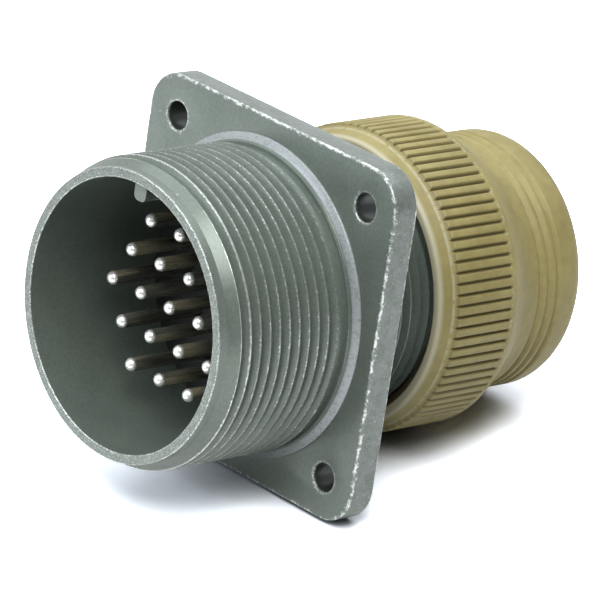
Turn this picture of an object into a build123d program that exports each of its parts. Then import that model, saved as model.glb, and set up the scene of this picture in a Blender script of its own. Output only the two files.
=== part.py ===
from build123d import *

import os
from math import radians, tan

# Square-flanged wall receptacle with a threaded front, a hexagonal field of pin contacts
# and a knurled endbell on the cable side. The origin is the centre of the flange's rear face,
# +Y runs from the mating end to the cable end, and +Z is up on the upright flange.
# Every length is in millimetres.

# Flange
flange_margin = 3.175
flange_thickness = 3.3
flange_corner_radius = 4.5
flange_edge_chamfer = 0.25
mount_hole_edge_distance = 4.7625
mount_hole_diameter = 3.3
mount_hole_chamfer = 0.15

# Coupling barrel in front of the flange
coupling_length = 19.05
coupling_thread_diameter = 34.925
thread_pitch = 25.4 / 18
thread_angle = 60
thread_depth = 0.76
rim_step = 1.0125
rim_wall = 1.12
rim_land_length = 1.2
rim_chamfer = 0.12
lead_in_length = 1.3
relief_step = 0.4125
relief_length = 0.5
undercut_width = 0.25
undercut_depth = 0.12
boss_step = 1.1375
boss_length = 1.1
boss_edge_radius = 1.0

# Polarising key in the socket, in line with the flange's top
key_width = 1.9
key_height = 2.0
key_tip_radius = 0.7
key_setback = 0.5
key_length = 14.0

# Rear barrel that carries the endbell
barrel_length = 18.65
barrel_thread_diameter = 28.575
barrel_wall = 1.8875
barrel_end_chamfer = 0.8
neck_length = 3.0

# Insert, in two discs that trap the contacts between them
insert_face_depth = 18.3
insert_flange_thickness = 2.1
insert_flange_clearance = 0.05
insert_clearance = 0.05
front_insert_length = 12.7
insert_edge_web = 1.34

# Spring ring that holds the insert in the barrel
ring_thickness = 0.9
ring_width = 1.3
ring_gap_angle = 40
ring_setback = 3.6
ring_groove_depth = 0.45
ring_clearance = 0.05

# Contacts: rows of three, four, five, four and three, closest packed
row_counts = (3, 4, 5, 4, 3)
contact_letters = "abcdefghjklmnprstuv"
pin_diameter = 1.5875
pin_recess = 6.6
collar_diameter = 2.7
collar_length = 2.4
tail_diameter = 2.3
tail_projection = 6.1
cup_bore_diameter = 1.75
cup_depth = 5.0
cup_mouth_length = 3.2
contact_clearance = 0.06

# Rubber grommet behind the insert
grommet_length = 9.4
grommet_straight_length = 5.8
grommet_taper = 1.35
wire_hole_diameter = 1.9
cup_end_clearance = 0.4

# Slip ring that presses on the grommet without turning
slip_ring_skirt_length = 0.2
slip_ring_lip_margin = 0.14
slip_ring_lip_thickness = 0.8
grommet_gap = 0.3

# Endbell
endbell_length = 25.05
endbell_bore_depth = 15.51
endbell_running_clearance = 0.06
endbell_countersink_width = 1.25
endbell_countersink_depth = 1.2
endbell_collar_length = 1.65
endbell_collar_taper = 0.6
knurl_wall = 3.4325
knurl_front_chamfer = 0.63
knurl_length = 8.73
knurl_grooves = 88
knurl_groove_width = 0.56
knurl_groove_depth = 0.42
knurl_land_length = 0.52
shoulder_length = 4.35
clamp_wall = 0.6025
clamp_thread_depth = 0.45
clamp_thread_setback = 1.46
clamp_end_length = 1.0
rear_wall = 2.85
endbell_end_radius = 2.6

# Radii and widths
crest_width = thread_pitch / 8
coupling_radius = coupling_thread_diameter / 2
rim_radius = coupling_radius - rim_step
socket_radius = rim_radius - rim_wall
relief_radius = coupling_radius - relief_step
boss_radius = coupling_radius + boss_step
flange_side = 2 * (coupling_radius + flange_margin)
mount_hole_spacing = flange_side - 2 * mount_hole_edge_distance
barrel_radius = barrel_thread_diameter / 2
neck_radius = barrel_radius - thread_depth
barrel_bore_radius = barrel_radius - barrel_wall
insert_radius = barrel_bore_radius - insert_clearance
tail_radius = tail_diameter / 2
field_radius = insert_radius - insert_edge_web - tail_radius
contact_spacing = 2 * field_radius / (len(row_counts) - 1)
grommet_end_radius = insert_radius - grommet_taper
slip_ring_lip_radius = field_radius + wire_hole_diameter / 2 + slip_ring_lip_margin
endbell_bore_radius = barrel_radius + endbell_running_clearance
knurl_radius = endbell_bore_radius + knurl_wall
clamp_radius = endbell_bore_radius + clamp_wall
cable_opening_radius = clamp_radius - rear_wall

# Stations along the axis, from the rim to the cable end
rim_y = -flange_thickness - coupling_length
pin_tip_y = rim_y + pin_recess
insert_face_y = rim_y + insert_face_depth
ledge_y = insert_face_y + insert_flange_thickness
insert_joint_y = insert_face_y + front_insert_length
ring_rear_y = barrel_length - ring_setback
insert_rear_y = ring_rear_y - ring_thickness
tail_end_y = insert_rear_y + tail_projection
grommet_taper_y = ring_rear_y + grommet_straight_length
grommet_rear_y = ring_rear_y + grommet_length
slip_ring_cone_y = grommet_taper_y + grommet_gap
slip_ring_front_y = slip_ring_cone_y - slip_ring_skirt_length
slip_ring_lip_y = grommet_rear_y + grommet_gap
slip_ring_rear_y = slip_ring_lip_y + slip_ring_lip_thickness
endbell_seat_y = slip_ring_rear_y + endbell_running_clearance
endbell_front_y = endbell_seat_y - endbell_bore_depth
endbell_rear_y = endbell_front_y + endbell_length


def flank_run(depth):
    """Length along the axis of a thread's flank."""
    return depth * tan(radians(thread_angle / 2))


def crest_count(room):
    """How many crests of the thread fit in a length along the axis."""
    return int((room - crest_width) / thread_pitch) + 1


def thread_outline(first_crest_y, crests, crest_radius, depth):
    """Points of a ridge-and-groove thread section, front to rear, from its first crest."""
    root_radius = crest_radius - depth
    outline = []
    for crest in range(crests):
        front_y = first_crest_y + crest * thread_pitch
        rear_y = front_y + crest_width
        outline += [(crest_radius, front_y), (crest_radius, rear_y)]
        if crest < crests - 1:
            outline += [
                (root_radius, rear_y + flank_run(depth)),
                (root_radius, front_y + thread_pitch - flank_run(depth)),
            ]
    return outline


def contact_places():
    """Places of the contacts, row by row from the top, seen from the mating end."""
    row_step = contact_spacing * 3**0.5 / 2
    middle = (len(row_counts) - 1) / 2
    places = []
    for row, count in enumerate(row_counts):
        for column in range(count):
            across = (column - (count - 1) / 2) * contact_spacing
            places.append(Vector(across, (middle - row) * row_step))
    return places


def station(y):
    """A plane square to the axis at y, seen from the mating end with +Z up."""
    return Plane.XZ.offset(-y)


os.makedirs("parts", exist_ok=True)
places = contact_places()

# Shell: flange, coupling barrel, key and rear barrel turned from one piece
boss_front_y = -flange_thickness - boss_length
undercut_front_y = boss_front_y - undercut_width
undercut_radius = relief_radius - undercut_depth
coupling_first_crest_y = rim_y + rim_land_length + lead_in_length
coupling_thread_room = undercut_front_y - relief_length - flank_run(relief_step) - coupling_first_crest_y
coupling_crests = crest_count(coupling_thread_room)
coupling_last_crest_y = coupling_first_crest_y + (coupling_crests - 1) * thread_pitch
relief_front_y = coupling_last_crest_y + crest_width + flank_run(relief_step)
barrel_last_crest_y = barrel_length - barrel_end_chamfer - crest_width
barrel_crests = crest_count(barrel_length - barrel_end_chamfer - neck_length - flank_run(thread_depth))
barrel_first_crest_y = barrel_last_crest_y - (barrel_crests - 1) * thread_pitch
with BuildPart() as shell:
    with BuildSketch(Plane.XZ):
        RectangleRounded(flange_side, flange_side, flange_corner_radius)
        with GridLocations(mount_hole_spacing, mount_hole_spacing, 2, 2):
            Circle(mount_hole_diameter / 2, mode=Mode.SUBTRACT)
    extrude(amount=flange_thickness)
    outer_wires = [face.outer_wire() for face in shell.faces().filter_by(Axis.Y)]
    chamfer([wire.edges() for wire in outer_wires], flange_edge_chamfer)
    hole_wires = [face.inner_wires() for face in shell.faces().filter_by(Axis.Y)]
    chamfer([wire.edges() for wires in hole_wires for wire in wires], mount_hole_chamfer)
    with BuildSketch(Plane.XY):
        with BuildLine():
            Polyline(
                (0, rim_y),
                (rim_radius - rim_chamfer, rim_y),
                (rim_radius, rim_y + rim_chamfer),
                (rim_radius, rim_y + rim_land_length),
                *thread_outline(coupling_first_crest_y, coupling_crests, coupling_radius, thread_depth),
                (relief_radius, relief_front_y),
                (relief_radius, undercut_front_y),
                (undercut_radius, undercut_front_y),
                (undercut_radius, boss_front_y),
                (boss_radius - boss_edge_radius, boss_front_y),
            )
            CenterArc(
                (boss_radius - boss_edge_radius, boss_front_y + boss_edge_radius), boss_edge_radius, -90, 90
            )
            Polyline(
                (boss_radius, boss_front_y + boss_edge_radius),
                (boss_radius, 0),
                (neck_radius, 0),
                (neck_radius, barrel_first_crest_y - flank_run(thread_depth)),
                *thread_outline(barrel_first_crest_y, barrel_crests, barrel_radius, thread_depth),
                (barrel_radius - barrel_end_chamfer, barrel_length),
                (0, barrel_length),
                (0, rim_y),
            )
        make_face()
    revolve(axis=Axis.Y)
    with BuildSketch(station(rim_y)):
        Circle(socket_radius)
    extrude(amount=-(ledge_y - rim_y), mode=Mode.SUBTRACT)
    with BuildSketch(station(ledge_y)):
        Circle(barrel_bore_radius)
    extrude(amount=-(barrel_length - ledge_y), mode=Mode.SUBTRACT)
    with BuildSketch(station(insert_rear_y)):
        Circle(barrel_bore_radius + ring_groove_depth)
    extrude(amount=-ring_thickness, mode=Mode.SUBTRACT)
    with BuildSketch(station(rim_y + key_setback)) as key_section:
        with Locations((0, socket_radius - key_height / 2)):
            RectangleRounded(key_width, key_height + 2 * key_tip_radius, key_tip_radius)
        Circle(socket_radius + rim_chamfer, mode=Mode.INTERSECT)
    extrude(amount=-key_length)
shell.part.label = "shell"
export_step(shell.part, "parts/shell.step")

# Front insert: flanged disc whose face is the floor of the socket
collar_radius = collar_diameter / 2
collar_front_y = insert_joint_y - collar_length
with BuildPart() as front_insert:
    with BuildSketch(station(insert_face_y)):
        Circle(socket_radius - insert_flange_clearance)
    extrude(amount=-insert_flange_thickness)
    with BuildSketch(station(ledge_y)):
        Circle(insert_radius)
    extrude(amount=-(insert_joint_y - ledge_y))
    with BuildSketch(station(insert_face_y)):
        with Locations(*places):
            Circle(pin_diameter / 2 + contact_clearance)
    extrude(amount=-front_insert_length, mode=Mode.SUBTRACT)
    with BuildSketch(station(collar_front_y)):
        with Locations(*places):
            Circle(collar_radius + contact_clearance)
    extrude(amount=-collar_length, mode=Mode.SUBTRACT)
front_insert.part.label = "front_insert"
export_step(front_insert.part, "parts/front_insert.step")

# Rear insert: plain disc that closes over the contacts' collars
with BuildPart() as rear_insert:
    with BuildSketch(station(insert_joint_y)):
        Circle(insert_radius)
        with Locations(*places):
            Circle(tail_radius + contact_clearance, mode=Mode.SUBTRACT)
    extrude(amount=-(insert_rear_y - insert_joint_y))
rear_insert.part.label = "rear_insert"
export_step(rear_insert.part, "parts/rear_insert.step")

# Retaining ring: open spring ring sprung into the barrel's groove
ring_outer_radius = barrel_bore_radius + ring_groove_depth - ring_clearance
with BuildPart() as retaining_ring:
    with BuildSketch(station(insert_rear_y)):
        Circle(ring_outer_radius)
        Circle(ring_outer_radius - ring_width, mode=Mode.SUBTRACT)
        with BuildLine(mode=Mode.PRIVATE) as gap_edges:
            CenterArc((0, 0), barrel_radius, -90 - ring_gap_angle / 2, ring_gap_angle)
            Line((0, 0), gap_edges.edges()[0] @ 0)
            Line((0, 0), gap_edges.edges()[0] @ 1)
        make_face(gap_edges.edges(), mode=Mode.SUBTRACT)
    extrude(amount=-ring_thickness)
retaining_ring.part.label = "retaining_ring"
export_step(retaining_ring.part, "parts/retaining_ring.step")

# Contacts: round-nosed pin, collar, and tail with a scooped solder cup
pin_radius = pin_diameter / 2
cup_bore_radius = cup_bore_diameter / 2
for letter, place in zip(contact_letters, places):
    axis = Axis((place.X, 0, place.Y), (0, 1, 0))
    with BuildPart() as contact:
        with BuildSketch(Plane(axis.position, x_dir=(1, 0, 0), z_dir=(0, 0, 1))):
            with BuildLine():
                RadiusArc((0, pin_tip_y), (pin_radius, pin_tip_y + pin_radius), -pin_radius)
                Polyline(
                    (pin_radius, pin_tip_y + pin_radius),
                    (pin_radius, collar_front_y),
                    (collar_radius, collar_front_y),
                    (collar_radius, insert_joint_y),
                    (tail_radius, insert_joint_y),
                    (tail_radius, tail_end_y),
                    (cup_bore_radius, tail_end_y),
                    (cup_bore_radius, tail_end_y - cup_depth),
                    (0, tail_end_y - cup_depth - cup_bore_radius),
                    (0, pin_tip_y),
                )
            make_face()
        revolve(axis=axis)
        cup_mouth = Plane((place.X, tail_end_y, place.Y), x_dir=(1, 0, 0), z_dir=(0, -1, 0))
        with BuildSketch(cup_mouth):
            with Locations((0, tail_radius)):
                Rectangle(2 * tail_radius, 2 * tail_radius)
        extrude(amount=cup_mouth_length, mode=Mode.SUBTRACT)
    contact.part.label = f"contact_{letter}"
    export_step(contact.part, f"parts/contact_{letter}.step")

# Grommet: rubber disc with a sealing hole for each wire, wide over the solder cups
cup_hole_radius = tail_radius + contact_clearance
cup_hole_end_y = tail_end_y + cup_end_clearance
with BuildPart() as grommet:
    with BuildSketch(Plane.XY):
        with BuildLine():
            Polyline(
                (0, ring_rear_y),
                (insert_radius, ring_rear_y),
                (insert_radius, grommet_taper_y),
                (grommet_end_radius, grommet_rear_y),
                (0, grommet_rear_y),
                close=True,
            )
        make_face()
    revolve(axis=Axis.Y)
    with BuildSketch(station(ring_rear_y)):
        with Locations(*places):
            Circle(cup_hole_radius)
    extrude(amount=-(cup_hole_end_y - ring_rear_y), mode=Mode.SUBTRACT)
    with BuildSketch(station(ring_rear_y)):
        with Locations(*places):
            Circle(wire_hole_diameter / 2)
    extrude(amount=-grommet_length, mode=Mode.SUBTRACT)
grommet.part.label = "grommet"
export_step(grommet.part, "parts/grommet.step")

# Slip ring: coned ring that holds the grommet and slides without turning
slip_ring_cone_radius = insert_radius + grommet_gap
with BuildPart() as slip_ring:
    with BuildSketch(Plane.XY):
        with BuildLine():
            Polyline(
                (slip_ring_cone_radius, slip_ring_front_y),
                (barrel_radius, slip_ring_front_y),
                (barrel_radius, slip_ring_rear_y),
                (slip_ring_lip_radius, slip_ring_rear_y),
                (slip_ring_lip_radius, slip_ring_lip_y),
                (grommet_end_radius + grommet_gap, slip_ring_lip_y),
                (slip_ring_cone_radius, slip_ring_cone_y),
                close=True,
            )
        make_face()
    revolve(axis=Axis.Y)
slip_ring.part.label = "slip_ring"
export_step(slip_ring.part, "parts/slip_ring.step")

# Endbell: plain collar, knurled grip, coned shoulder, and thread for a cable clamp
knurl_front_y = endbell_front_y + endbell_collar_length
shoulder_front_y = knurl_front_y + knurl_length + knurl_land_length
shoulder_rear_y = shoulder_front_y + shoulder_length
clamp_first_crest_y = shoulder_rear_y + clamp_thread_setback
clamp_crests = crest_count(endbell_rear_y - endbell_end_radius - clamp_end_length - clamp_first_crest_y)
countersink_radius = endbell_bore_radius + endbell_countersink_width
with BuildPart() as endbell:
    with BuildSketch(Plane.XY):
        with BuildLine():
            Polyline(
                (clamp_radius, endbell_rear_y - endbell_end_radius),
                *reversed(
                    thread_outline(clamp_first_crest_y, clamp_crests, clamp_radius, clamp_thread_depth)
                ),
                (clamp_radius, shoulder_rear_y),
                (knurl_radius, shoulder_front_y),
                (knurl_radius, knurl_front_y + knurl_front_chamfer),
                (knurl_radius - knurl_front_chamfer, knurl_front_y),
                (knurl_radius - knurl_front_chamfer - endbell_collar_taper, endbell_front_y),
                (countersink_radius, endbell_front_y),
                (endbell_bore_radius, endbell_front_y + endbell_countersink_depth),
                (endbell_bore_radius, endbell_seat_y),
                (cable_opening_radius, endbell_seat_y),
                (cable_opening_radius, endbell_rear_y),
                (clamp_radius - endbell_end_radius, endbell_rear_y),
            )
            RadiusArc(
                (clamp_radius - endbell_end_radius, endbell_rear_y),
                (clamp_radius, endbell_rear_y - endbell_end_radius),
                endbell_end_radius,
            )
        make_face()
    revolve(axis=Axis.Y)
    with BuildSketch(station(knurl_front_y)):
        with PolarLocations(knurl_radius, knurl_grooves):
            Polygon(
                (-knurl_groove_depth, 0),
                (0, -knurl_groove_width / 2),
                (knurl_groove_depth, -knurl_groove_width / 2),
                (knurl_groove_depth, knurl_groove_width / 2),
                (0, knurl_groove_width / 2),
                align=None,
            )
    extrude(amount=-knurl_length, mode=Mode.SUBTRACT)
endbell.part.label = "endbell"
export_step(endbell.part, "parts/endbell.step")
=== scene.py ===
# %% [markdown]
# This lesson dresses a square-flanged circular receptacle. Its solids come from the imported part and
# stay where they are. The scene adds what a solid leaves out: threads that really climb, a broached
# grip, worn plating, and the soft light of a small-product studio. The shapes are in metres. The
# finishes read places in millimetres, so what both of them need is kept in millimetres.

from math import atan, atan2, cos, hypot, pi, radians, sin, tan

import bmesh
import bpy
from mathutils import Matrix, Vector


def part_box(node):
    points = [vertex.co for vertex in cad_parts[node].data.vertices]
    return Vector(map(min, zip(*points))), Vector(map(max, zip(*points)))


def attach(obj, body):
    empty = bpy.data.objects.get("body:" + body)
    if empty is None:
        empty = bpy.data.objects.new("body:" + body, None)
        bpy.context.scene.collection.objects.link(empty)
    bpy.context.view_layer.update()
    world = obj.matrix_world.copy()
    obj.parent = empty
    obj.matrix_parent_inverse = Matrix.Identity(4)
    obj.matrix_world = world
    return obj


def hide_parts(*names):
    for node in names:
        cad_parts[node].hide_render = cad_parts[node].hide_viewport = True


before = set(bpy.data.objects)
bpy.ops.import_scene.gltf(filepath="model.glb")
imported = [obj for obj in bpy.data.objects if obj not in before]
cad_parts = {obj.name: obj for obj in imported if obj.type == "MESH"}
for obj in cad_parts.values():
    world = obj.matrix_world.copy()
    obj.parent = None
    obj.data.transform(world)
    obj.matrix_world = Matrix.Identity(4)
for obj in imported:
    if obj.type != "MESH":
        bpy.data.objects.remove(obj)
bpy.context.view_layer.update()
mm = 0.001
shell_low, shell_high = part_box("shell")
endbell_low, endbell_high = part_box("endbell")
print("solids:", len(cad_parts), "shell from", tuple(shell_low), "to", tuple(shell_high))

# %% [markdown]
# Some sizes drive a shape and its finish too, because wear follows a crest or an edge. They are the
# standard sizes of this shell, and the ends of the solids where a piece has to meet them. A name that
# ends in "along" is a station on the axis, counted from the flange's rear face towards the cable.

# %% Name the shared sizes, in millimetres
pitch_mm = 25.4 / 18
coupling_radius_mm = 17.4625
rim_radius_mm = 16.45
socket_radius_mm = 15.33
rim_along = shell_low.y / mm
flange_front_along = -3.3
flange_half_mm = shell_high.x / mm
flange_corner_mm = 4.5
hole_offset_mm = flange_half_mm - 4.7625
hole_radius_mm = 1.65
collar_radius_mm = 17.15
grip_radius_mm = endbell_high.x / mm
lip_along = endbell_low.y / mm
collar_along = lip_along + 1.65
groove_end_along = collar_along + 8.73
grip_rear_along = collar_along + 9.25
print("thread pitch", round(pitch_mm, 4), "mm, rim at", round(rim_along, 3), "mm")

# %% [markdown]
# The camera is a long lens, which keeps the flange's sides nearly parallel. A camera could be aimed
# with a constraint, but the part lies tilted and the picture leans with it, so the camera is given
# three directions outright: back towards the lens, up and right.

# %% Set the camera
camera_place = Vector((0.41384, -0.40177, 0.20213))
camera_back = Vector((0.67319, -0.66101, 0.33148)).normalized()
camera_up = Vector((-0.33888, 0.12265, 0.93280)).normalized()
camera_right = camera_up.cross(camera_back)
camera = bpy.data.objects.new("camera", bpy.data.cameras.new("camera"))
bpy.context.scene.collection.objects.link(camera)
turn = Matrix((camera_right, camera_up, camera_back)).transposed()
camera.matrix_world = Matrix.Translation(camera_place) @ turn.to_4x4()
camera.data.lens = 327.7
camera.data.sensor_width = 36
camera.data.clip_start = 0.01
bpy.context.scene.camera = camera
bpy.context.scene.view_settings.view_transform = "Standard"
print("camera stands", round(camera_place.length, 3), "m from the flange")

# %% [markdown]
# A finish is a small network of nodes. The editor wires them by hand. In a script, one helper that
# makes a node and one that plugs values or links into its inputs keep each material short.


# %% Make nodes and join them
def fill(tree, node, inputs):
    """Fills a node's inputs with values or with other nodes' outputs."""
    for socket, value in dict(inputs).items():
        if isinstance(value, bpy.types.NodeSocket):
            tree.links.new(value, node.inputs[socket])
        else:
            node.inputs[socket].default_value = value


def add_node(tree, kind, inputs=(), **settings):
    """Adds a node, sets it, and fills its inputs."""
    node = tree.nodes.new(kind)
    for key, value in settings.items():
        setattr(node, key, value)
    fill(tree, node, inputs)
    return node


def blend_colours(tree, share, first, second):
    """Mixes two colours, or the outputs that carry them."""
    first, second = [(*colour, 1) if isinstance(colour, tuple) else colour for colour in (first, second)]
    return add_node(tree, "ShaderNodeMix", {0: share, 6: first, 7: second}, data_type="RGBA").outputs[2]


def new_material(name):
    """An empty material with its shader ready to be filled in."""
    material = bpy.data.materials.new(name)
    material.use_nodes = True
    return material, material.node_tree, material.node_tree.nodes["Principled BSDF"]


print("node helpers ready")

# %% [markdown]
# Masks are arithmetic. Each step of it is a Math node too, and steps with everyday names read like a
# sentence: a product is where two masks overlap, the largest is where either holds.


# %% Do arithmetic in nodes
def calculate(tree, operation, *values):
    """One step of arithmetic."""
    return add_node(tree, "ShaderNodeMath", enumerate(values), operation=operation).outputs[0]


def repeat(tree, operation, values):
    """The same step over all the values, one after the other."""
    result = values[0]
    for value in values[1:]:
        result = calculate(tree, operation, result, value)
    return result


def total(tree, *values):
    """All the values added."""
    return repeat(tree, "ADD", values)


def less(tree, value, taken):
    """What is left of a value."""
    return calculate(tree, "SUBTRACT", value, taken)


def product(tree, *values):
    """All the values multiplied."""
    return repeat(tree, "MULTIPLY", values)


def largest(tree, *values):
    """The largest of the values."""
    return repeat(tree, "MAXIMUM", values)


def smallest(tree, *values):
    """The smallest of the values."""
    return repeat(tree, "MINIMUM", values)


def size_of(tree, value):
    """A value without its sign."""
    return calculate(tree, "ABSOLUTE", value)


def ease(tree, value, low, high):
    """Climbs smoothly from 0 at low to 1 at high. It falls instead where low is the larger."""
    inputs = {"Value": value, "From Min": low, "From Max": high}
    return add_node(tree, "ShaderNodeMapRange", inputs, interpolation_type="SMOOTHSTEP").outputs[0]


def cloud(tree, place, scale, detail=3, roughness=0.5):
    """Noise between 0 and 1, with its scale in patches for each millimetre."""
    inputs = {"Vector": place, "Scale": scale, "Detail": detail, "Roughness": roughness}
    return add_node(tree, "ShaderNodeTexNoise", inputs).outputs["Fac"]


def bump_of(tree, height, strength, distance):
    """The surface's direction, tilted by a height."""
    inputs = {"Height": height, "Strength": strength, "Distance": distance}
    return add_node(tree, "ShaderNodeBump", inputs).outputs[0]


print("arithmetic ready")

# %% [markdown]
# The picture's ground is white card. A white world alone would float the part, so there is a real
# floor too. The part rests on the flange's rear lower edge and on the rear end of the grip, and the
# floor is the plane through both.

# %% Lay the floor
floor_radius = 0.25
floor_tilt = atan((endbell_low.z - shell_low.z) / (grip_rear_along * mm))
floor_matrix = Matrix.Translation((0, 0, shell_low.z)) @ Matrix.Rotation(floor_tilt, 4, "X")
bm = bmesh.new()
bmesh.ops.create_circle(bm, cap_ends=True, segments=96, radius=floor_radius, matrix=floor_matrix)
floor_mesh = bpy.data.meshes.new("floor")
bm.to_mesh(floor_mesh)
bm.free()
floor = bpy.data.objects.new("floor", floor_mesh)
bpy.context.scene.collection.objects.link(floor)
print("floor tilts", round(floor_tilt * 180 / pi, 2), "degrees")

# %% [markdown]
# The Light Path node gives the card three colours. To the camera it is past white, so that it runs
# into the backdrop wherever no shadow falls. In reflections it is white too. To all other light it is
# plain grey card, which lifts the part's underside a little and no more. An Ambient Occlusion node
# paints a contact shadow into the camera's white in the last few millimetres before the part, as
# on real card. From below the card is clear.

# %% Finish the floor
card_bounce = (0.45, 0.45, 0.45)
card_mirrored = (1.4, 1.4, 1.4)
card_shown = (2.36, 2.42, 2.6)
painted_shadow_reach = 0.006
painted_shadow_power = 0.85
floor_material, tree, shader = new_material("white_card")
ray = add_node(tree, "ShaderNodeLightPath").outputs
# Painted contact shadow: ambient occlusion darkens the card's colour close to the part.
painted_contact_shadow = add_node(tree, "ShaderNodeAmbientOcclusion", {"Distance": painted_shadow_reach}, samples=8)
shade = calculate(tree, "POWER", painted_contact_shadow.outputs["AO"], painted_shadow_power)
shown = add_node(tree, "ShaderNodeVectorMath", {0: card_shown, "Scale": shade}, operation="SCALE")
card_colour = blend_colours(tree, ray["Is Glossy Ray"], card_bounce, card_mirrored)
card_colour = blend_colours(tree, ray["Is Camera Ray"], card_colour, shown.outputs[0])
card = add_node(tree, "ShaderNodeBsdfDiffuse", {"Color": card_colour})
clear = add_node(tree, "ShaderNodeBsdfTransparent")
underside = add_node(tree, "ShaderNodeNewGeometry").outputs["Backfacing"]
sheet = add_node(tree, "ShaderNodeMixShader", {0: underside, 1: card.outputs[0], 2: clear.outputs[0]})
fill(tree, tree.nodes["Material Output"], {"Surface": sheet.outputs[0]})
tree.nodes.remove(shader)
floor_mesh.materials.append(floor_material)
print("floor finish:", len(tree.nodes), "nodes")

# %% [markdown]
# Three softboxes light the part. A wide one overhead gives the even tone, a smaller one to the right
# draws the bright line down the cone and the boss, and one far to the left, as pale as a window,
# fills the flange and the socket. Lamps near the lens would flatten the threads, and these rake
# across them instead.


# %% Hang the lamps
def add_softbox(name, place, width, power, colour):
    """A square area lamp at a place, facing the part."""
    lamp = bpy.data.lights.new(name, "AREA")
    lamp.size = width
    lamp.energy = power
    lamp.color = colour
    softbox = bpy.data.objects.new(name, lamp)
    bpy.context.scene.collection.objects.link(softbox)
    softbox.location = place
    softbox.rotation_euler = (-Vector(place)).to_track_quat("-Z", "Y").to_euler()


add_softbox("overhead_softbox", (-0.06, -0.02, 0.40), width=0.70, power=2.8, colour=(0.94, 0.97, 1.0))
add_softbox("key_softbox", (0.20, -0.26, 0.37), width=0.26, power=1.6, colour=(1.0, 1.0, 0.98))
add_softbox("window_softbox", (-0.22, -0.53, 0.11), width=0.30, power=1.6, colour=(0.90, 0.95, 1.0))

# %% [markdown]
# The room around the lamps is white to the camera and dim as a light. In reflections it is white on
# the side of the backdrop and darker on the other, because gloss needs something dark to mirror or
# the plating looks like chalk.

# %% Paint the room
room_light = 0.075
room_mirrored = 0.3
towards_backdrop = -camera_back
world = bpy.data.worlds.new("studio")
bpy.context.scene.world = world
world.use_nodes = True
tree = world.node_tree
ray = add_node(tree, "ShaderNodeLightPath").outputs
direction = add_node(tree, "ShaderNodeTexCoord").outputs["Generated"]
views = {0: direction, 1: towards_backdrop}
facing = add_node(tree, "ShaderNodeVectorMath", views, operation="DOT_PRODUCT").outputs["Value"]
backdrop = add_node(tree, "ShaderNodeMapRange", {
    "Value": facing, "From Min": -0.5, "From Max": 0.1, "To Min": room_mirrored, "To Max": 1.0,
})
mirrored = product(tree, ray["Is Glossy Ray"], backdrop.outputs[0])
seen = largest(tree, ray["Is Camera Ray"], mirrored, ray["Is Transmission Ray"])
strength = add_node(tree, "ShaderNodeMapRange", {"Value": seen, "To Min": room_light, "To Max": 1.0})
fill(tree, tree.nodes["Background"], {"Color": (1, 1, 1, 1), "Strength": strength.outputs[0]})
print("room:", len(tree.nodes), "nodes")

# %% [markdown]
# Wear follows the form: crests, rims and edges lose their coating first. Every finish here reads the
# place of a point on the part: how far along the axis it is and how far out from it. Distances to
# the edges follow from those by arithmetic, so nothing has to be painted, and the pattern stays put
# from every side.


# %% Read places on the part
class Place:
    """Where a point of the surface is, in millimetres."""

    def __init__(self, tree):
        self.tree = tree
        coordinates = add_node(tree, "ShaderNodeTexCoord").outputs["Object"]
        in_mm = {0: coordinates, "Scale": 1 / mm}
        self.point = add_node(tree, "ShaderNodeVectorMath", in_mm, operation="SCALE").outputs[0]
        split = add_node(tree, "ShaderNodeSeparateXYZ", {0: self.point})
        self.x, self.along, self.z = split.outputs
        self.radius = self.long_side(self.x, self.z)

    def long_side(self, first, second):
        """The long side of a right triangle."""
        squares = [product(self.tree, side, side) for side in (first, second)]
        return calculate(self.tree, "SQRT", total(self.tree, *squares))

    def distance(self, first, first_goal, second, second_goal):
        """How far two coordinates together are from their goals."""
        return self.long_side(less(self.tree, first, first_goal), less(self.tree, second, second_goal))

    def ring(self, radius, along, reach, full_share=0.35):
        """1 on a turned edge of that radius and station, and 0 beyond its reach."""
        gap = self.distance(self.radius, radius, self.along, along)
        return ease(self.tree, gap, reach, reach * full_share)

    def stretched(self, along_share):
        """The point with its place along the axis shrunk, which draws a noise out into streaks."""
        factors = {0: self.point, 1: (1, along_share, 1)}
        return add_node(self.tree, "ShaderNodeVectorMath", factors, operation="MULTIPLY").outputs[0]


print("places are read in millimetres")

# %% [markdown]
# On the shell, four regions are worked in their own way: the rim's end face, the boss around the
# barrel, the flange's sides and its holes. A mask for each is worked out once, and the coat and the
# wear share it.

# %% Find the shell's regions
boss_start = (-4.6, -4.35)
boss_end = (-3.36, -3.46)
boss_cone_radius = (17.52, 17.62)
side_wall = (-0.14, -0.05)


class ShellPlace(Place):
    """Where a point of the shell is, and which of its regions it belongs to."""

    def __init__(self, tree):
        super().__init__(tree)
        across = [size_of(tree, value) for value in (self.x, self.z)]
        self.flange_gap = self.outline_gap(across)
        self.flange_side = ease(tree, self.flange_gap, *side_wall)
        to_hole = self.distance(across[0], hole_offset_mm, across[1], hole_offset_mm)
        self.hole_gap = less(tree, to_hole, hole_radius_mm)
        self.rim_face = ease(tree, self.along, rim_along + 0.06, rim_along + 0.02)
        boss_band = product(tree, ease(tree, self.along, *boss_start), ease(tree, self.along, *boss_end))
        self.boss = product(tree, boss_band, ease(tree, self.radius, *boss_cone_radius))

    def outline_gap(self, across):
        """How far a point lies inside the flange's rounded outline, as a negative number."""
        tree = self.tree
        past = [less(tree, value, flange_half_mm - flange_corner_mm) for value in across]
        rounded = self.long_side(*[largest(tree, value, 0) for value in past])
        inner = smallest(tree, largest(tree, *past), 0)
        return less(tree, total(tree, rounded, inner), flange_corner_mm)


print("the flange's outline is", round(flange_half_mm, 4), "mm from the axis")

# %% [markdown]
# A crest is a helix, and the distance to it is arithmetic too. The place along the axis, less the
# climb at that angle, wraps round every pitch. What is left is how far the point lies behind the
# nearest crest. The crest's flat wears, and so does the top of the flank behind it, but not where the
# lead-in cone has cut the crest away.

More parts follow.
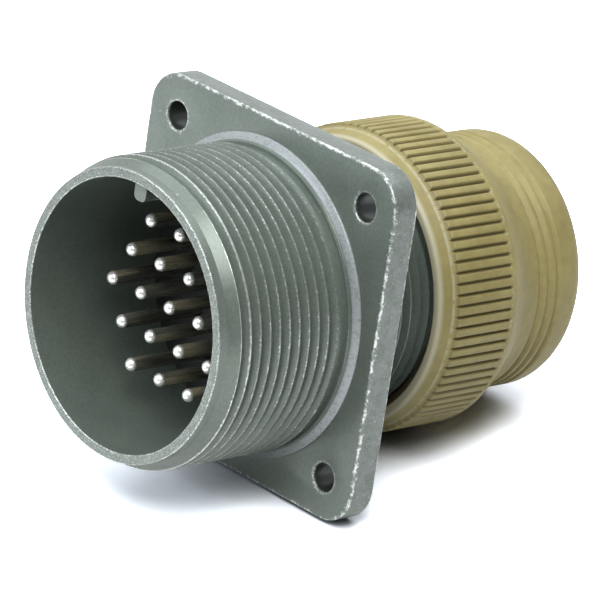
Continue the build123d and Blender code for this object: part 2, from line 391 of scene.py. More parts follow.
# %% Find the crests
ridge_along = -20.03
crest_half_mm = 0.088
worn_from_along = -20.1
worn_drop = 0.3
flank_slope = tan(radians(30))


def crest_distance(tree, place):
    """How far a point is from the crest's flat, or from the top of the flank behind it."""
    angle = calculate(tree, "ARCTAN2", product(tree, place.z, -1), place.x)
    turns = calculate(tree, "DIVIDE", less(tree, place.along, ridge_along), pitch_mm)
    turns = less(tree, turns, calculate(tree, "DIVIDE", angle, 2 * pi))
    behind = product(tree, calculate(tree, "WRAP", turns, 0.5, -0.5), pitch_mm)
    below = less(tree, coupling_radius_mm, place.radius)
    flat = largest(tree, less(tree, size_of(tree, behind), crest_half_mm), below)
    flank = total(tree, product(tree, below, flank_slope), crest_half_mm)
    flank = size_of(tree, less(tree, behind, flank))
    flank = largest(tree, flank, less(tree, worn_from_along, place.along), less(tree, below, worn_drop))
    return smallest(tree, flat, flank)


print("crests are", coupling_radius_mm, "mm from the axis")

# %% [markdown]
# A clean mask looks printed, and noise breaks it up. The shell's masks share seven clouds, from wide
# to fine, because two masks that never meet can use the same one.


# %% Make the shell's clouds
class ShellClouds:
    """The noises that the shell's coat and its wear share."""

    def __init__(self, tree, point):
        self.drift = cloud(tree, point, 0.12, 2)
        self.dashes = cloud(tree, point, 0.9, 5, 0.6)
        self.chips = cloud(tree, point, 1.7, 4, 0.6)
        self.mottle = cloud(tree, point, 2.2, 6, 0.65)
        self.ragged = less(tree, cloud(tree, point, 2.6, 5, 0.7), 0.5)
        self.specks = cloud(tree, point, 4.0, 4, 0.7)
        self.grain = cloud(tree, point, 7.0, 3, 0.6)


print("shell clouds ready")

# %% [markdown]
# The shell's plating is a grey-green conversion coat over aluminium: satin, faintly mottled and
# grainy. Two greens are mixed by a wide, a middling and a fine cloud. The rim's end face is a little
# paler, the boss is rubbed to a lighter grey in short streaks along the axis, the flange's sides keep
# the greyer tone of the saw, and the walls of the holes are near-black with painted shade.

# %% Mix the shell's coat
coat_dark = (0.118, 0.145, 0.125)
coat_light = (0.178, 0.214, 0.186)
rubbed_coat = (0.25, 0.27, 0.27)
sawn_coat = (0.27, 0.285, 0.305)
brushed_coat = (0.36, 0.385, 0.405)
hole_wall_painted_shade = (0.02, 0.025, 0.025)


def shell_coat(tree, place, clouds):
    """The coat's colour before any wear, with painted shade on the walls of the holes."""
    shares = ((clouds.mottle, 0.3), (clouds.drift, 0.25), (clouds.grain, 0.45))
    shade = total(tree, *[product(tree, noise, share) for noise, share in shares])
    coat = blend_colours(tree, ease(tree, shade, 0.35, 0.65), coat_dark, coat_light)
    coat = blend_colours(tree, product(tree, place.rim_face, 0.1), coat, rubbed_coat)
    brushed = ease(tree, cloud(tree, place.stretched(0.1), 4.0, 3, 0.6), 0.10, 0.60)
    coat = blend_colours(tree, product(tree, place.boss, brushed, 0.9), coat, brushed_coat)
    sawn = product(tree, place.flange_side, ease(tree, clouds.dashes, 0.36, 0.62), 0.35)
    coat = blend_colours(tree, sawn, coat, sawn_coat)
    # Painted shade: the walls of the screw holes are coloured near-black.
    hole_wall = product(tree, ease(tree, place.hole_gap, 0.06, 0.02), ease(tree, place.along, -3.25, -2.9))
    return blend_colours(tree, product(tree, hole_wall, 0.9), coat, hole_wall_painted_shade)


print("coat from", coat_dark, "to", coat_light)

# %% [markdown]
# Bare metal comes through where the part is handled. On the thread it shows as broken dashes along
# the crests, because a crest only touches its nut here and there. The crests by the rim have lost
# the most.

# %% Wear the crests
first_crest_band = (-18.2, -19.2)
thread_end_band = (-5.1, -5.5)


def crest_wear(tree, place, clouds):
    """Dashes along the crests of the coupling thread."""
    near_rim = ease(tree, place.along, *first_crest_band)
    gap = less(tree, crest_distance(tree, place), product(tree, clouds.ragged, 0.35))
    gap = less(tree, gap, product(tree, near_rim, 0.05))
    crest = product(tree, ease(tree, gap, 0.07, 0.0), ease(tree, place.along, *thread_end_band))
    specks = product(tree, ease(tree, clouds.specks, 0.49, 0.62), ease(tree, clouds.dashes, 0.36, 0.56))
    share = total(tree, product(tree, near_rim, 0.5), 0.09, product(tree, specks, 0.9))
    return product(tree, crest, share)


print("crests wear from", worn_from_along, "to", thread_end_band[0], "mm")

# %% [markdown]
# The rim's corners are worn and its face has fine scratches. The flange's edges are chipped in and
# out of line, its sides are nicked, and a screw head has rubbed each hole's edge. Most of these are
# the distance to an edge, shifted by the ragged cloud and kept where another cloud is strong.

# %% Wear the rim, the flange and the holes
corner_inset = 0.03
corner_reach = 0.15
worn_inset = 0.08
rear_spared = 0.08


def rim_wear(tree, place, clouds):
    """The rim's two corners and the scratches on its face."""
    outer = place.ring(rim_radius_mm - corner_inset, rim_along + corner_inset, corner_reach)
    inner = place.ring(socket_radius_mm + corner_inset, rim_along, corner_reach)
    corners = product(tree, largest(tree, outer, inner), ease(tree, clouds.grain, 0.44, 0.58))
    scratches = product(tree, place.rim_face, ease(tree, clouds.grain, 0.52, 0.62), 0.35)
    return largest(tree, corners, scratches)


def flange_wear(tree, place, clouds):
    """The flange's chipped edges, mostly the front one, and the nicks on its sides."""
    front = place.distance(place.flange_gap, -worn_inset, place.along, flange_front_along + worn_inset)
    rear = place.distance(place.flange_gap, -worn_inset, place.along, -worn_inset)
    edge = smallest(tree, front, total(tree, rear, rear_spared))
    edge = less(tree, edge, product(tree, clouds.ragged, 1.5))
    edge = product(tree, ease(tree, edge, 0.25, 0.09), ease(tree, clouds.chips, 0.39, 0.57))
    nicks = product(tree, place.flange_side, ease(tree, clouds.specks, 0.61, 0.67), 0.6)
    return largest(tree, edge, nicks)


def hole_wear(tree, place, clouds):
    """The front edges of the screw holes."""
    edge = place.distance(place.hole_gap, worn_inset, place.along, flange_front_along)
    edge = total(tree, edge, product(tree, clouds.ragged, 0.8))
    return product(tree, ease(tree, edge, 0.30, 0.12), ease(tree, clouds.specks, 0.44, 0.58), 0.75)


def stray_nicks(tree, place, clouds):
    """Small bare spots, a few on every face."""
    spots = add_node(tree, "ShaderNodeTexVoronoi", {"Vector": place.point, "Scale": 0.55, "Randomness": 1})
    spots = ease(tree, spots.outputs["Distance"], 0.055, 0.03)
    return product(tree, spots, ease(tree, clouds.dashes, 0.5, 0.6))


shell_wears = (crest_wear, rim_wear, flange_wear, hole_wear, stray_nicks)
print("kinds of wear on the shell:", len(shell_wears))

# %% [markdown]
# The shader takes the coat's colour, with bare metal where any of the wears is strong. Wear also
# turns the surface metallic. The bump is weak, because a strong one scatters the long highlights
# that show the plating's gloss.

# %% Finish the shell
bare_metal = (0.62, 0.64, 0.62)


def shell_finish():
    """Satin grey-green plating, worn on its crests and edges."""
    material, tree, shader = new_material("shell_plating")
    place = ShellPlace(tree)
    clouds = ShellClouds(tree, place.point)
    wear = largest(tree, *[kind(tree, place, clouds) for kind in shell_wears])
    rough_shares = ((clouds.mottle, 0.14), (wear, 0.04), (place.boss, 0.05))
    fill(tree, shader, {
        "Base Color": blend_colours(tree, wear, shell_coat(tree, place, clouds), bare_metal),
        "Roughness": total(tree, 0.24, *[product(tree, value, share) for value, share in rough_shares]),
        "Metallic": total(tree, 0.25, product(tree, wear, 0.6)),
        "Normal": bump_of(tree, clouds.grain, strength=0.12, distance=0.03 * mm),
    })
    return material


shell_material = shell_finish()
print("shell finish:", len(shell_material.node_tree.nodes), "nodes")

# %% [markdown]
# The endbell has its own coating, a matt olive drab that is older and blotched. The grooves of the
# grip are coloured darker than the ridges, so the distance from the axis tells them apart. The
# front lip carries a painted highlight in pale cream, a thin bright line runs where the collar meets
# the grip, and the bore behind the lip is darkened with painted shade.

# %% Finish the endbell
khaki_light = (0.345, 0.293, 0.11)
khaki_dark = (0.25, 0.208, 0.071)
darker_in_grooves = (0.15, 0.125, 0.05)
bore_shade = (0.07, 0.055, 0.025)
cream_wear_and_highlight = (0.52, 0.49, 0.36)
bore_mouth_radius = (15.6, 15.4)


def endbell_coat(tree, place, mottle):
    """Olive drab with its stains, darker grooves, a painted highlight on its lip and painted shade in its
    bore.
    """
    shade = total(tree, product(tree, mottle, 0.4), product(tree, cloud(tree, place.point, 0.16, 3), 0.6))
    coat = blend_colours(tree, ease(tree, shade, 0.3, 0.7), khaki_dark, khaki_light)
    # The grooves are coloured darker than the ridges.
    groove = product(
        tree, ease(tree, place.along, collar_along + 0.15, collar_along + 0.55),
        ease(tree, place.along, groove_end_along + 0.12, groove_end_along - 0.18),
        ease(tree, place.radius, grip_radius_mm - 0.06, grip_radius_mm - 0.28),
    )
    coat = blend_colours(tree, groove, coat, darker_in_grooves)
    # Painted highlight: the front lip is coloured pale cream all round.
    lip_painted_highlight = product(tree, ease(tree, place.along, lip_along + 0.8, lip_along + 0.2), 0.8)
    coat = blend_colours(tree, lip_painted_highlight, coat, cream_wear_and_highlight)
    # Painted shade: the bore behind the lip is coloured dark brown.
    inside = ease(tree, place.radius, *bore_mouth_radius)
    front = ease(tree, place.along, collar_along + 0.15, collar_along - 0.25)
    return blend_colours(tree, product(tree, inside, front), coat, bore_shade)


def endbell_finish():
    """Matt olive-drab coating, stained, darker in its grooves, with a painted highlight and painted shade.
    """
    material, tree, shader = new_material("endbell_plating")
    place = Place(tree)
    mottle = cloud(tree, place.point, 0.9, 3, 0.5)
    chips = cloud(tree, place.point, 1.9, 4, 0.6)
    ridge_ends = place.ring(grip_radius_mm, groove_end_along, 0.3)
    ridge_ends = product(tree, ridge_ends, ease(tree, chips, 0.5, 0.6))
    collar_line = place.ring(collar_radius_mm + 0.02, collar_along + 0.01, 0.22)
    collar_line = product(tree, collar_line, ease(tree, chips, 0.35, 0.5))
    rubbed = product(tree, largest(tree, ridge_ends, collar_line), 0.5)
    fill(tree, shader, {
        "Base Color": blend_colours(tree, rubbed, endbell_coat(tree, place, mottle), cream_wear_and_highlight),
        "Roughness": total(tree, 0.42, product(tree, mottle, 0.16)),
        "Metallic": 0.05,
        "Normal": bump_of(tree, cloud(tree, place.point, 7.0, 3, 0.6), strength=0.2, distance=0.03 * mm),
    })
    return material


endbell_material = endbell_finish()
print("endbell finish:", len(endbell_material.node_tree.nodes), "nodes")

# %% [markdown]
# The contacts are silver plated: the noses are polished by use, and the shafts have tarnished in
# streaks along their length, with a warm painted highlight here and there, more towards the nose.

# %% Finish the contacts
pin_tip_along = -15.75
nose_silver = (0.95, 0.94, 0.92)
shaft_dark = (0.14, 0.14, 0.12)
shaft_light = (0.30, 0.30, 0.25)
painted_warm_glint = (0.52, 0.48, 0.33)


def contact_finish():
    """Silver plate, bright on the nose and tarnished on the shaft, with painted warm glints."""
    material, tree, shader = new_material("contact_plating")
    place = Place(tree)
    drawn = place.stretched(0.07)
    streaks = cloud(tree, drawn, 1.6, 3, 0.5)
    tarnish = cloud(tree, drawn, 0.7, 2, 0.5)
    shaft_colour = blend_colours(tree, ease(tree, streaks, 0.35, 0.65), shaft_dark, shaft_light)
    # Painted highlight: warm glints on the shafts, growing towards the nose.
    painted_glint = product(tree, ease(tree, tarnish, 0.50, 0.62), ease(tree, place.along, -9.0, -14.5))
    shaft_colour = blend_colours(tree, painted_glint, shaft_colour, painted_warm_glint)
    shaft = ease(tree, place.along, pin_tip_along + 0.45, pin_tip_along + 0.85)
    fill(tree, shader, {
        "Base Color": blend_colours(tree, shaft, nose_silver, shaft_colour),
        "Roughness": total(tree, 0.18, product(tree, tarnish, 0.15)),
        "Metallic": 0.7,
    })
    return material


contact_material = contact_finish()
print("contact finish:", len(contact_material.node_tree.nodes), "nodes")

# %% [markdown]
# The insert is a near-black moulding and the grommet is rubber. The slip ring and the spring ring
# are seen only from behind. They share one helper, which mixes two tones by a cloud and gives the
# surface a grain of its own.


# %% Finish the small pieces
def plain_finish(name, dark, light, roughness, metallic, grain_scale, grain_height):
    """A two-tone surface with its own grain."""
    material, tree, shader = new_material(name)
    place = Place(tree)
    mottle = cloud(tree, place.point, grain_scale * 0.4, 4, 0.6)
    grain = cloud(tree, place.point, grain_scale, 3, 0.6)
    fill(tree, shader, {
        "Base Color": blend_colours(tree, ease(tree, mottle, 0.3, 0.7), dark, light),
        "Roughness": total(tree, roughness, product(tree, mottle, 0.12)),
        "Metallic": metallic,
        "Normal": bump_of(tree, grain, strength=0.3, distance=grain_height),
    })
    return material


insert_material = plain_finish(
    "insert_moulding", (0.012, 0.013, 0.014), (0.022, 0.024, 0.024),
    roughness=0.45, metallic=0.0, grain_scale=5.0, grain_height=0.03 * mm,
)
rubber_material = plain_finish(
    "grommet_rubber", (0.018, 0.018, 0.018), (0.03, 0.03, 0.03),
    roughness=0.6, metallic=0.0, grain_scale=4.0, grain_height=0.05 * mm,
)
ring_material = plain_finish(
    "ring_plating", (0.26, 0.22, 0.10), (0.36, 0.31, 0.17),
    roughness=0.42, metallic=0.25, grain_scale=6.0, grain_height=0.03 * mm,
)
spring_material = plain_finish(
    "spring_steel", (0.42, 0.42, 0.42), (0.55, 0.55, 0.55),
    roughness=0.28, metallic=1.0, grain_scale=8.0, grain_height=0.01 * mm,
)

node_materials = {
    "shell": shell_material,
    "endbell": endbell_material,
    "front_insert": insert_material,
    "rear_insert": insert_material,
    "retaining_ring": spring_material,
    "grommet": rubber_material,
    "slip_ring": ring_material,
}
for name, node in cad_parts.items():
    node.data.materials.clear()
    node.data.materials.append(node_materials.get(name, contact_material))
print("finishes on", len(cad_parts), "nodes")

# %% [markdown]
# Turned parts are a drawn half-section spun about the axis. The editor has Spin for it, and so has
# bmesh. A thread is the same spin with a climb: each step also moves along by a share of the pitch.
# After one turn the section has climbed exactly one pitch, so its points land on the next groove's
# and weld to them. Spinning all the way round in small steps is slow, so a wedge is spun, and copies
# of it are turned on and welded until the circle is whole.

# %% Spin sections
turn_steps = 300
turn_wedges = 20
weld_reach = 0.002 * mm


def spin_section(bm, section, steps=turn_steps, wedges=turn_wedges, climb=0.0, closed=False):
    """Spins (radius, along) points about +Y, climbing in one turn by the length given."""
    wedge = bmesh.new()
    points = [wedge.verts.new((radius, along, 0)) for radius, along in section]
    pairs = list(zip(points, points[1:])) + ([(points[-1], points[0])] if closed else [])
    edges = [wedge.edges.new(pair) for pair in pairs]
    bmesh.ops.spin(
        wedge, geom=points + edges, cent=(0, 0, 0), axis=(0, 1, 0), angle=2 * pi / wedges,
        steps=steps // wedges, dvec=(0, climb / steps, 0),
    )
    mesh = bpy.data.meshes.new("wedge")
    wedge.to_mesh(mesh)
    wedge.free()
    turned_on = Matrix.Translation((0, climb / wedges, 0)) @ Matrix.Rotation(2 * pi / wedges, 4, "Y")
    for _ in range(wedges):
        bm.from_mesh(mesh)
        mesh.transform(turned_on)
    bpy.data.meshes.remove(mesh)
    bmesh.ops.remove_doubles(bm, verts=bm.verts, dist=weld_reach)


def rounding(centre_radius, centre_along, radius, start, end, segments=4):
    """Points of an arc in a half-section. Its angles are in degrees, from outwards towards +Y."""
    angles = [radians(start + (end - start) * i / segments) for i in range(segments + 1)]
    return [(centre_radius + radius * cos(a), centre_along + radius * sin(a)) for a in angles]


print("turned pieces have", turn_steps, "steps")

# %% [markdown]
# A spun skin still has to be cut to length, and some of its points have to go in or out. A cut square
# to the axis is one bisect. A point that moves straight out stays in its own column, so that rings
# with the same columns still weld.


# %% Cut and move points
def cut_across(bm, along, keep=0):
    """Cuts the mesh square to the axis. It keeps what lies beyond the cut in the given direction."""
    bmesh.ops.bisect_plane(
        bm, geom=bm.verts[:] + bm.edges[:] + bm.faces[:], plane_co=(0, along, 0), plane_no=(0, 1, 0),
        dist=weld_reach / 20, clear_inner=keep > 0, clear_outer=keep < 0,
    )


def set_radius(point, radius):
    """Moves a point straight out from the axis, or in towards it."""
    share = radius / hypot(point.co.x, point.co.z)
    point.co.x *= share
    point.co.z *= share


def between(value, low, high):
    """How far value has gone from low to high, from 0 to 1."""
    return max(0.0, min(1.0, (value - low) / (high - low)))


def on_section(section, along):
    """Radius of a turned outline at a station along it."""
    for (radius_a, along_a), (radius_b, along_b) in zip(section, section[1:]):
        if along_a <= along <= along_b and along_b > along_a:
            return radius_a + (radius_b - radius_a) * (along - along_a) / (along_b - along_a)
    return section[-1][0] if along > section[-1][1] else section[0][0]


def add_mesh(bm, part):
    """Adds the faces of a bmesh to another one and frees it."""
    mesh = bpy.data.meshes.new("part")
    part.to_mesh(mesh)
    part.free()
    bm.from_mesh(mesh)
    bpy.data.meshes.remove(mesh)


print("points closer than", weld_reach / mm, "mm weld")

# %% [markdown]
# The thread is a 60 degree one, 18 to the inch. Where it starts on the lead-in cone, its crests are
# cut off by the cone. Where it ends, its grooves run out onto a plain band. Both could be booleans,
# but it is cleaner to wind the thread too long, cut it square at each corner of the turned blank, and
# then push every point inside the blank and outside the groove's floor. A phase turns the whole
# thread about the axis.

# %% Wind a thread
pitch = pitch_mm * mm
thread_depth = 0.76 * mm
crest_half = pitch / 16
flank_run = thread_depth * flank_slope
flank_stops = (0.0, 0.12, 0.55, 1.0)
phase_angle = radians(26)


def thread_section(crest_along, crest_radius, pitches):
    """One groove after another, each with points down both of its flanks."""
    section = []
    for i in range(pitches):
        middle = crest_along + i * pitch
        for stop in flank_stops:
            section.append((crest_radius - thread_depth * stop, middle + crest_half + flank_run * stop))
        middle += pitch
        for stop in reversed(flank_stops):
            section.append((crest_radius - thread_depth * stop, middle - crest_half - flank_run * stop))
    return section


def wind_thread(bm, crest_along, crest_radius, blank, floor_section):
    """A right-hand thread on the blank, with clean square ends for the next ring to be welded to."""
    wound = bmesh.new()
    first, last = blank[0][1], blank[-1][1]
    start = crest_along + pitch * phase_angle / (2 * pi)
    before = int((start - first) / pitch) + 2
    pitches = before + int((last - start) / pitch) + 2
    spin_section(wound, thread_section(start - before * pitch, crest_radius, pitches), climb=pitch)
    cut_across(wound, first, keep=1)
    cut_across(wound, last, keep=-1)
    for _, along in blank[1:-1]:
        cut_across(wound, along)
    step = 2 * pi / turn_steps
    for point in wound.verts:
        along = point.co.y
        radius = max(hypot(point.co.x, point.co.z), on_section(floor_section, along))
        set_radius(point, min(radius, on_section(blank, along)))
        if min(abs(along - first), abs(along - last)) < weld_reach:
            column = round(atan2(point.co.z, point.co.x) / step) * step
            radius = hypot(point.co.x, point.co.z)
            point.co = (radius * cos(column), along, radius * sin(column))
    bmesh.ops.remove_doubles(wound, verts=wound.verts, dist=weld_reach)
    add_mesh(bm, wound)


print("pitch", round(pitch / mm, 4), "mm, flank", round(flank_run / mm, 4), "mm long")

# %% [markdown]
# The shell starts with its front: the coupling barrel with its land, lead-in cone, thread and plain
# band. The thread's floor climbs at both ends, where the tool comes in and lifts. Behind the band a
# small step leads up to the boss, a cone whose foot is on the flange.

# %% Turn the coupling barrel
rim_y = shell_low.y
coupling_radius = coupling_radius_mm * mm
rim_radius = rim_radius_mm * mm
socket_radius = socket_radius_mm * mm
relief_radius = 17.05 * mm
land_cut = rim_y + 0.6 * mm
land_end = rim_y + 1.2 * mm
cone_end = rim_y + 2.5 * mm
first_crest = cone_end - 0.28 * mm
last_crest = cone_end + crest_half + 10 * pitch
band_cut = rim_y + 17.3 * mm
flange_front = flange_front_along * mm
boss_front = flange_front - 1.1 * mm
boss_radius = 18.4 * mm
boss_step = ((0.36, 0), (0.42, 0.05), (0.45, 0.18), (0.38, 0.30), (0.44, 0.37), (0.60, 0.41))

shell_bm = bmesh.new()
coupling_blank = [
    (rim_radius, land_cut),
    (rim_radius, land_end),
    (coupling_radius, cone_end),
    (coupling_radius, last_crest + crest_half),
    (relief_radius, last_crest + crest_half + 0.24 * mm),
    (relief_radius, band_cut),
]
coupling_floor = [
    (rim_radius, land_cut),
    (rim_radius, land_end),
    (coupling_radius - 0.25 * mm, cone_end - 0.32 * mm),
    (coupling_radius - thread_depth, cone_end + 0.15 * mm),
    (coupling_radius - thread_depth, last_crest - 0.6 * pitch),
    (relief_radius - 0.04 * mm, last_crest + 0.2 * pitch),
    (relief_radius, band_cut - 0.2 * mm),
    (relief_radius, band_cut),
]
wind_thread(shell_bm, first_crest, coupling_radius, coupling_blank, coupling_floor)
spin_section(shell_bm, [
    (relief_radius, band_cut),
    (relief_radius, boss_front),
    *[(relief_radius + rise * mm, boss_front + run * mm) for rise, run in boss_step],
    *rounding(boss_radius - 0.2 * mm, flange_front - 0.15 * mm, 0.2 * mm, -50, 0, 3),
    (boss_radius, flange_front),
])
print("coupling barrel:", len(shell_bm.faces), "faces")

# %% [markdown]
# The rear barrel carries the endbell. Its thread shows in the gap behind the flange, and runs out
# towards a plain neck.

# %% Turn the rear barrel
barrel_radius = 14.2875 * mm
neck_radius = barrel_radius - thread_depth
neck_cut = 1.0 * mm
barrel_end = shell_high.y
barrel_chamfer = 0.8 * mm
first_barrel_crest = 3.65 * mm
barrel_blank = [
    (neck_radius, neck_cut),
    (neck_radius, first_barrel_crest - flank_run),
    (barrel_radius, first_barrel_crest),
    (barrel_radius, barrel_end - barrel_chamfer),
    (barrel_radius - barrel_chamfer, barrel_end),
]
barrel_floor = [
    (neck_radius, neck_cut),
    (neck_radius, barrel_end - 0.5 * mm),
    (0, barrel_end - 0.4 * mm),
    (0, barrel_end),
]
wind_thread(shell_bm, first_barrel_crest, barrel_radius, barrel_blank, barrel_floor)
spin_section(shell_bm, [(neck_radius, 0), (neck_radius, neck_cut)])
print("with the rear barrel:", len(shell_bm.faces), "faces")

# %% [markdown]
# The inside is one more spun section, from the barrel's end back to the rim: the rear bore with the
# spring ring's groove, the ledge that the insert sits on, and the socket's wall. A worn rim isn't
# sharp, so its corners get a small rounding.

# %% Bore the inside
bore_radius = 12.4 * mm
ring_groove = 14.15 * mm
ring_groove_depth = 0.45 * mm
ring_groove_end = ring_groove + 0.9 * mm
ledge_y = -1.95 * mm
inner_rounding = 0.12 * mm
outer_rounding = 0.14 * mm
spin_section(shell_bm, [
    (barrel_radius - barrel_chamfer, barrel_end),
    (bore_radius, barrel_end),
    (bore_radius, ring_groove_end),
    (bore_radius + ring_groove_depth, ring_groove_end),
    (bore_radius + ring_groove_depth, ring_groove),
    (bore_radius, ring_groove),
    (bore_radius, ledge_y),
    (socket_radius, ledge_y),
    (socket_radius, rim_y + 0.5 * mm),
    *rounding(socket_radius + inner_rounding, rim_y + inner_rounding, inner_rounding, 180, 270),
    *rounding(rim_radius - outer_rounding, rim_y + outer_rounding, outer_rounding, -90, 0),
    (rim_radius, land_cut),
])
print("with the bores:", len(shell_bm.faces), "faces")

# %% [markdown]
# The flange is a plate with rounded corners, four screw holes and slightly broken edges. It could be
# a bevelled box with holes cut by booleans. Here the outlines are drawn as loops: a bevelled square
# and circles. Each face is filled between its loops, and the walls bridge one loop to the next, so
# the plate comes out as one clean skin that welds to the barrels.

# %% Draw loops
flange_half = shell_high.x
flange_corner = flange_corner_mm * mm
corner_segments = 12
break_steps = 4


def rounded_square(bm, inset, along):
    """Edges of the flange's outline, drawn in by an inset."""
    matrix = Matrix.Translation((0, along, 0)) @ Matrix.Rotation(pi / 2, 4, "X")
    grid = bmesh.ops.create_grid(bm, x_segments=1, y_segments=1, size=flange_half - inset, matrix=matrix)
    rounded = bmesh.ops.bevel(
        bm, geom=grid["verts"], offset=flange_corner - inset, offset_type="OFFSET", segments=corner_segments,
        profile=0.5, affect="VERTICES", material=-1,
    )
    faces = {face for point in rounded["verts"] for face in point.link_faces}
    bmesh.ops.delete(bm, geom=list(faces), context="FACES_ONLY")
    return list({edge for point in rounded["verts"] for edge in point.link_edges})


def circle(bm, x, along, z, radius, steps):
    """Edges of a circle square to the axis."""
    matrix = Matrix.Translation((x, along, z)) @ Matrix.Rotation(pi / 2, 4, "X")
    made = bmesh.ops.create_circle(bm, cap_ends=False, segments=steps, radius=radius, matrix=matrix)
    return list({edge for point in made["verts"] for edge in point.link_edges})


def skin(bm, loops):
    """Bridges each loop of edges to the next."""
    for first, second in zip(loops, loops[1:]):
        bmesh.ops.bridge_loops(bm, edges=first + second)


def plate_wall(edge_break):
    """Insets and stations of a wall through the plate, with both of its edges rounded."""
    angles = [pi / 2 * i / break_steps for i in range(break_steps + 1)]
    corner = [(edge_break * (1 - sin(a)), edge_break * (1 - cos(a))) for a in angles]
    front = [(inset, flange_front + depth) for inset, depth in corner]
    return front + [(inset, -depth) for inset, depth in reversed(corner)]


print("flange", round(2 * flange_half / mm, 3), "mm across")

# %% Form the flange
outline_break = 0.25 * mm
hole_break = 0.15 * mm
hole_radius = hole_radius_mm * mm
hole_place = hole_offset_mm * mm
hole_sides = 40

plate = bmesh.new()
outlines = [rounded_square(plate, inset, along) for inset, along in plate_wall(outline_break)]
skin(plate, outlines)
front_loops = outlines[0] + circle(plate, 0, flange_front, 0, boss_radius, turn_steps)
rear_loops = outlines[-1] + circle(plate, 0, 0, 0, neck_radius, turn_steps)
for x in (-hole_place, hole_place):
    for z in (-hole_place, hole_place):
        wall = plate_wall(hole_break)
        circles = [circle(plate, x, along, z, hole_radius + inset, hole_sides) for inset, along in wall]
        skin(plate, circles)
        front_loops += circles[0]
        rear_loops += circles[-1]
for loops in (front_loops, rear_loops):
    bmesh.ops.triangle_fill(plate, use_beauty=True, edges=loops)
add_mesh(shell_bm, plate)
print("shell with its flange:", len(shell_bm.faces), "faces")

# %% [markdown]
# The key in the socket is a rounded ridge that the plug's slot slides over. A square with two rounded
# corners is drawn flat and extruded along the socket. Its outer side reaches a little into the wall,
# so that no seam opens between the two.

# %% Add the key
key_width = 1.9 * mm
key_height = 2.0 * mm
key_tip = 0.7 * mm
key_front = rim_y + 0.5 * mm
key_length = 14.0 * mm
key_overlap = 0.1 * mm

key_bm = bmesh.new()
key_matrix = Matrix.Translation((0, key_front, 0)) @ Matrix.Rotation(pi / 2, 4, "X")
bmesh.ops.create_grid(key_bm, x_segments=1, y_segments=1, size=key_width / 2, matrix=key_matrix)
inner_corners = [point for point in key_bm.verts if point.co.z < 0]
bmesh.ops.bevel(
    key_bm, geom=inner_corners, offset=key_tip, offset_type="OFFSET", segments=6, profile=0.5,
    affect="VERTICES", material=-1,
)
inner_lift = socket_radius - key_height + key_width / 2
outer_lift = socket_radius + key_overlap - key_width / 2
for point in key_bm.verts:
    point.co.z += inner_lift if point.co.z < 0 else outer_lift
walls = bmesh.ops.extrude_face_region(key_bm, geom=key_bm.faces[:])
far_end = [item for item in walls["geom"] if isinstance(item, bmesh.types.BMVert)]
bmesh.ops.translate(key_bm, verts=far_end, vec=(0, key_length, 0))
add_mesh(shell_bm, key_bm)
print("key", round(key_length / mm, 3), "mm long")

# %% [markdown]
# A finished bmesh becomes an object. Its doubles are welded, its normals turned outwards, and any
# hole left by the welding is filled. It is shaded smooth, and only edges with a wide angle between
# their faces stay sharp. Then it is tied to the solids: the body it rides, its finish and the nodes
# that it takes the place of.


# %% Hand over the shell
def to_piece(bm, name, material, body, nodes, sharp_angle=28):
    """Closes a bmesh, makes it an object, and ties it to the solids that it stands for."""
    bmesh.ops.remove_doubles(bm, verts=bm.verts, dist=weld_reach)
    bmesh.ops.recalc_face_normals(bm, faces=bm.faces)
    bmesh.ops.holes_fill(bm, edges=[edge for edge in bm.edges if edge.is_boundary], sides=0)
    open_edges = sum(not edge.is_manifold for edge in bm.edges)
    mesh = bpy.data.meshes.new(name)
    bm.to_mesh(mesh)
    bm.free()
    mesh.shade_smooth()
    mesh.set_sharp_from_angle(angle=radians(sharp_angle))
    mesh.materials.append(material)
    piece = bpy.data.objects.new(name, mesh)
    bpy.context.scene.collection.objects.link(piece)
    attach(piece, body)
    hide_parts(*nodes)
    triangles = sum(len(polygon.vertices) - 2 for polygon in mesh.polygons)
    print(name, "has", triangles, "triangles and", open_edges, "open edges")


to_piece(shell_bm, "threaded_shell", shell_material, "receptacle", ["shell"])

# %% [markdown]
# The endbell is turned too: a bore that fits over the rear barrel, a rounded lip, a plain collar, the
# grip's blank, the coned shoulder and the cable clamp's end with its rounded tail. The section closes
# on itself, so the skin has no open side. It is spun with nine columns to each ridge of the grip, and
# with rows close together where the clamp's thread will come.

# %% Turn the endbell
ridges = 88
ridge_columns = 9
grip_radius = endbell_high.x
grip_front = endbell_low.y
tail_y = endbell_high.y
collar_end = collar_along * mm
grip_end = groove_end_along * mm
cone_start = grip_rear_along * mm
shoulder_end = cone_start + 4.35 * mm
collar_radius = collar_radius_mm * mm
lip_radius = 16.55 * mm
seat_y = grip_front + 15.51 * mm
seat_radius = 14.3475 * mm
opening_radius = 12.1 * mm
tail_rounding = 2.6 * mm
grip_chamfer = ((0.42, 0.21), (0.21, 0.42), (0.03, 0.60), (0, 0.68))
clamp_radius = 14.95 * mm
clamp_first = shoulder_end + 2.25 * mm
clamp_turns = 3
wave_rows = [clamp_first - 0.7 * pitch + i * pitch / 12 for i in range(12 * clamp_turns + 6)]

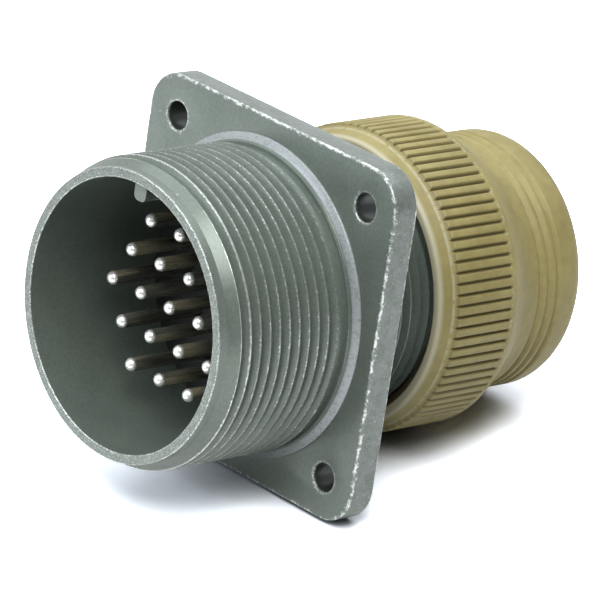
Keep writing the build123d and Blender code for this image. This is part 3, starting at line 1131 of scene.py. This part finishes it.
endbell_bm = bmesh.new()
spin_section(endbell_bm, [
    (opening_radius, seat_y),
    (seat_radius, seat_y),
    (seat_radius, grip_front + 1.2 * mm),
    *rounding(seat_radius + 1.4 * mm, grip_front + 0.15 * mm, 0.15 * mm, 220, 270, 3),
    *rounding(lip_radius - 0.4 * mm, grip_front + 0.4 * mm, 0.4 * mm, -90, -20, 5),
    (collar_radius - 0.03 * mm, collar_end - 0.06 * mm),
    (collar_radius + 0.04 * mm, collar_end + 0.04 * mm),
    *[(grip_radius - drop * mm, collar_end + run * mm) for drop, run in grip_chamfer],
    (grip_radius, (collar_end + grip_end) / 2),
    (grip_radius, grip_end - 0.30 * mm),
    (grip_radius, grip_end - 0.08 * mm),
    (grip_radius, grip_end),
    (grip_radius, cone_start - 0.1 * mm),
    (grip_radius - 0.05 * mm, cone_start + 0.05 * mm),
    (clamp_radius + 0.08 * mm, shoulder_end - 0.12 * mm),
    (clamp_radius, shoulder_end + 0.1 * mm),
    *[(clamp_radius, along) for along in wave_rows],
    *rounding(clamp_radius - tail_rounding, tail_y - tail_rounding, tail_rounding, 0, 90, 10),
    (opening_radius, tail_y),
], steps=ridges * ridge_columns, wedges=ridges, closed=True)
print("endbell blank:", len(endbell_bm.faces), "faces")

# %% [markdown]
# The grip is broached, which leaves narrow grooves with wide flat ridges between them. Four columns
# of every nine stay out, and the other five are pushed in, the middle one the most. Each groove gets
# shallower at its rear end, where the tool lifts. The clamp's thread is shallow and thick with
# coating, so it is pushed in the same way, with a soft wave that climbs as it goes round.

# %% Broach the grip and wind the clamp's thread
groove_depth = 0.42 * mm
groove_columns = {5: 0.08, 6: 0.55, 7: 1.0, 8: 0.55, 0: 0.08}
run_out_share = 0.55
clamp_depth = 0.45 * mm
wave_power = 1.6
hair = 0.01 * mm
column_angle = 2 * pi / (ridges * ridge_columns)
for point in endbell_bm.verts:
    radius, along = hypot(point.co.x, point.co.z), point.co.y
    angle = atan2(-point.co.z, point.co.x)
    if collar_end < along < grip_end - hair and radius > grip_radius - groove_depth:
        column = round(angle / column_angle) % ridge_columns
        run_out = 1 - run_out_share * between(along, grip_end - 0.31 * mm, grip_end - 0.08 * mm)
        depth = groove_depth * groove_columns.get(column, 0) * run_out
        set_radius(point, min(radius, grip_radius - depth))
    elif wave_rows[0] < along < wave_rows[-1] and radius > clamp_radius - hair:
        turns = (along - clamp_first) / pitch - (angle + phase_angle) / (2 * pi)
        wave = (0.5 + 0.5 * cos(2 * pi * turns)) ** wave_power
        fade = between(turns, -0.6, -0.1) * between(turns, clamp_turns - 0.4, clamp_turns - 0.9)
        set_radius(point, clamp_radius - clamp_depth * wave * fade)
to_piece(endbell_bm, "knurled_endbell", endbell_material, "backshell", ["endbell"])
